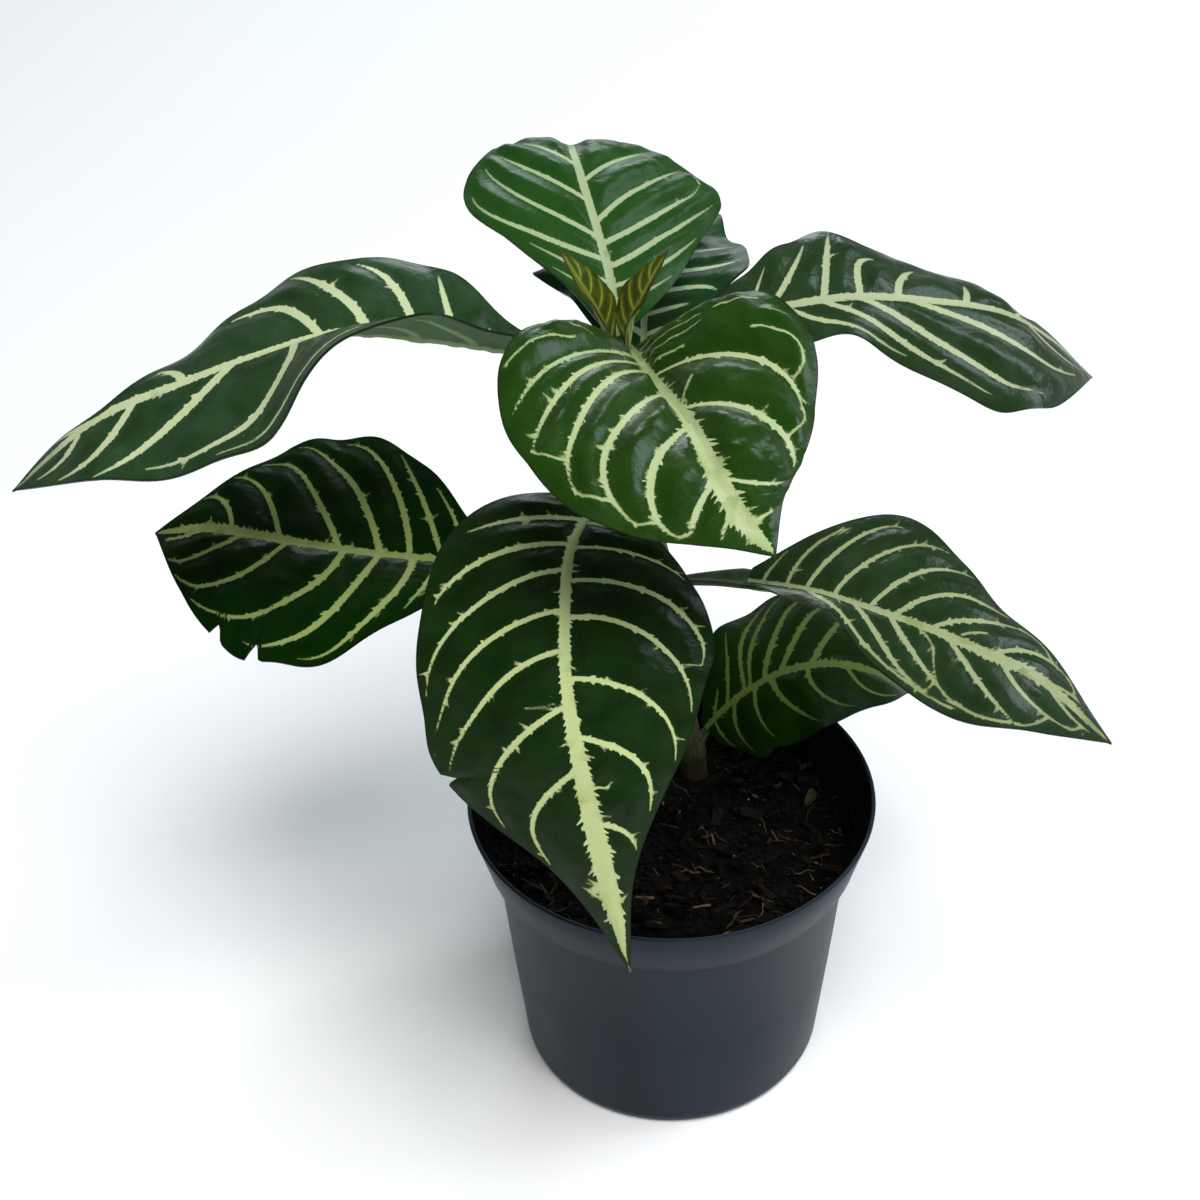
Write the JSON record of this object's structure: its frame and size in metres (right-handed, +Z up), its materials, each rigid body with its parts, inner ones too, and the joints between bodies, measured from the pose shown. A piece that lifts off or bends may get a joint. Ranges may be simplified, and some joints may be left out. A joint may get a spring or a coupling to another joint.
{
  "type": "aphelandra pot plant",
  "caption": "Aphelandra (zebra plant) in a round tapered nursery pot: leafy upright stem with large arching veined leaves and a pair of young leaves at the tip.",
  "frame": {"origin": "centre of the pot's flat underside, on the pot's axis", "axes": "+Z up along the pot's axis; the plant's show side faces -Y, +X to the right as seen from there"},
  "size_m": [0.3011, 0.2221, 0.2916],
  "materials": {
    "pot_plastic": "dark slate polypropylene, satin",
    "potting_mix": "peat and bark potting mix, rough",
    "stem": "half-woody green-brown stem",
    "leaf": "glossy dark green with cream veins",
    "young_leaf": "olive green with yellow-green net veins"
  },
  "bodies": {
    "root": {"pot": "pot_plastic", "soil": "potting_mix", "stem": "stem", "leaf_front": "leaf", "leaf_heart": "leaf", "leaf_left": "leaf", "leaf_right": "leaf", "leaf_low_left": "leaf", "leaf_low_right": "leaf", "leaf_bottom": "leaf", "leaf_top": "leaf", "leaf_back": "leaf", "young_leaf_left": "young_leaf", "young_leaf_right": "young_leaf"}
  },
  "joints": []
}
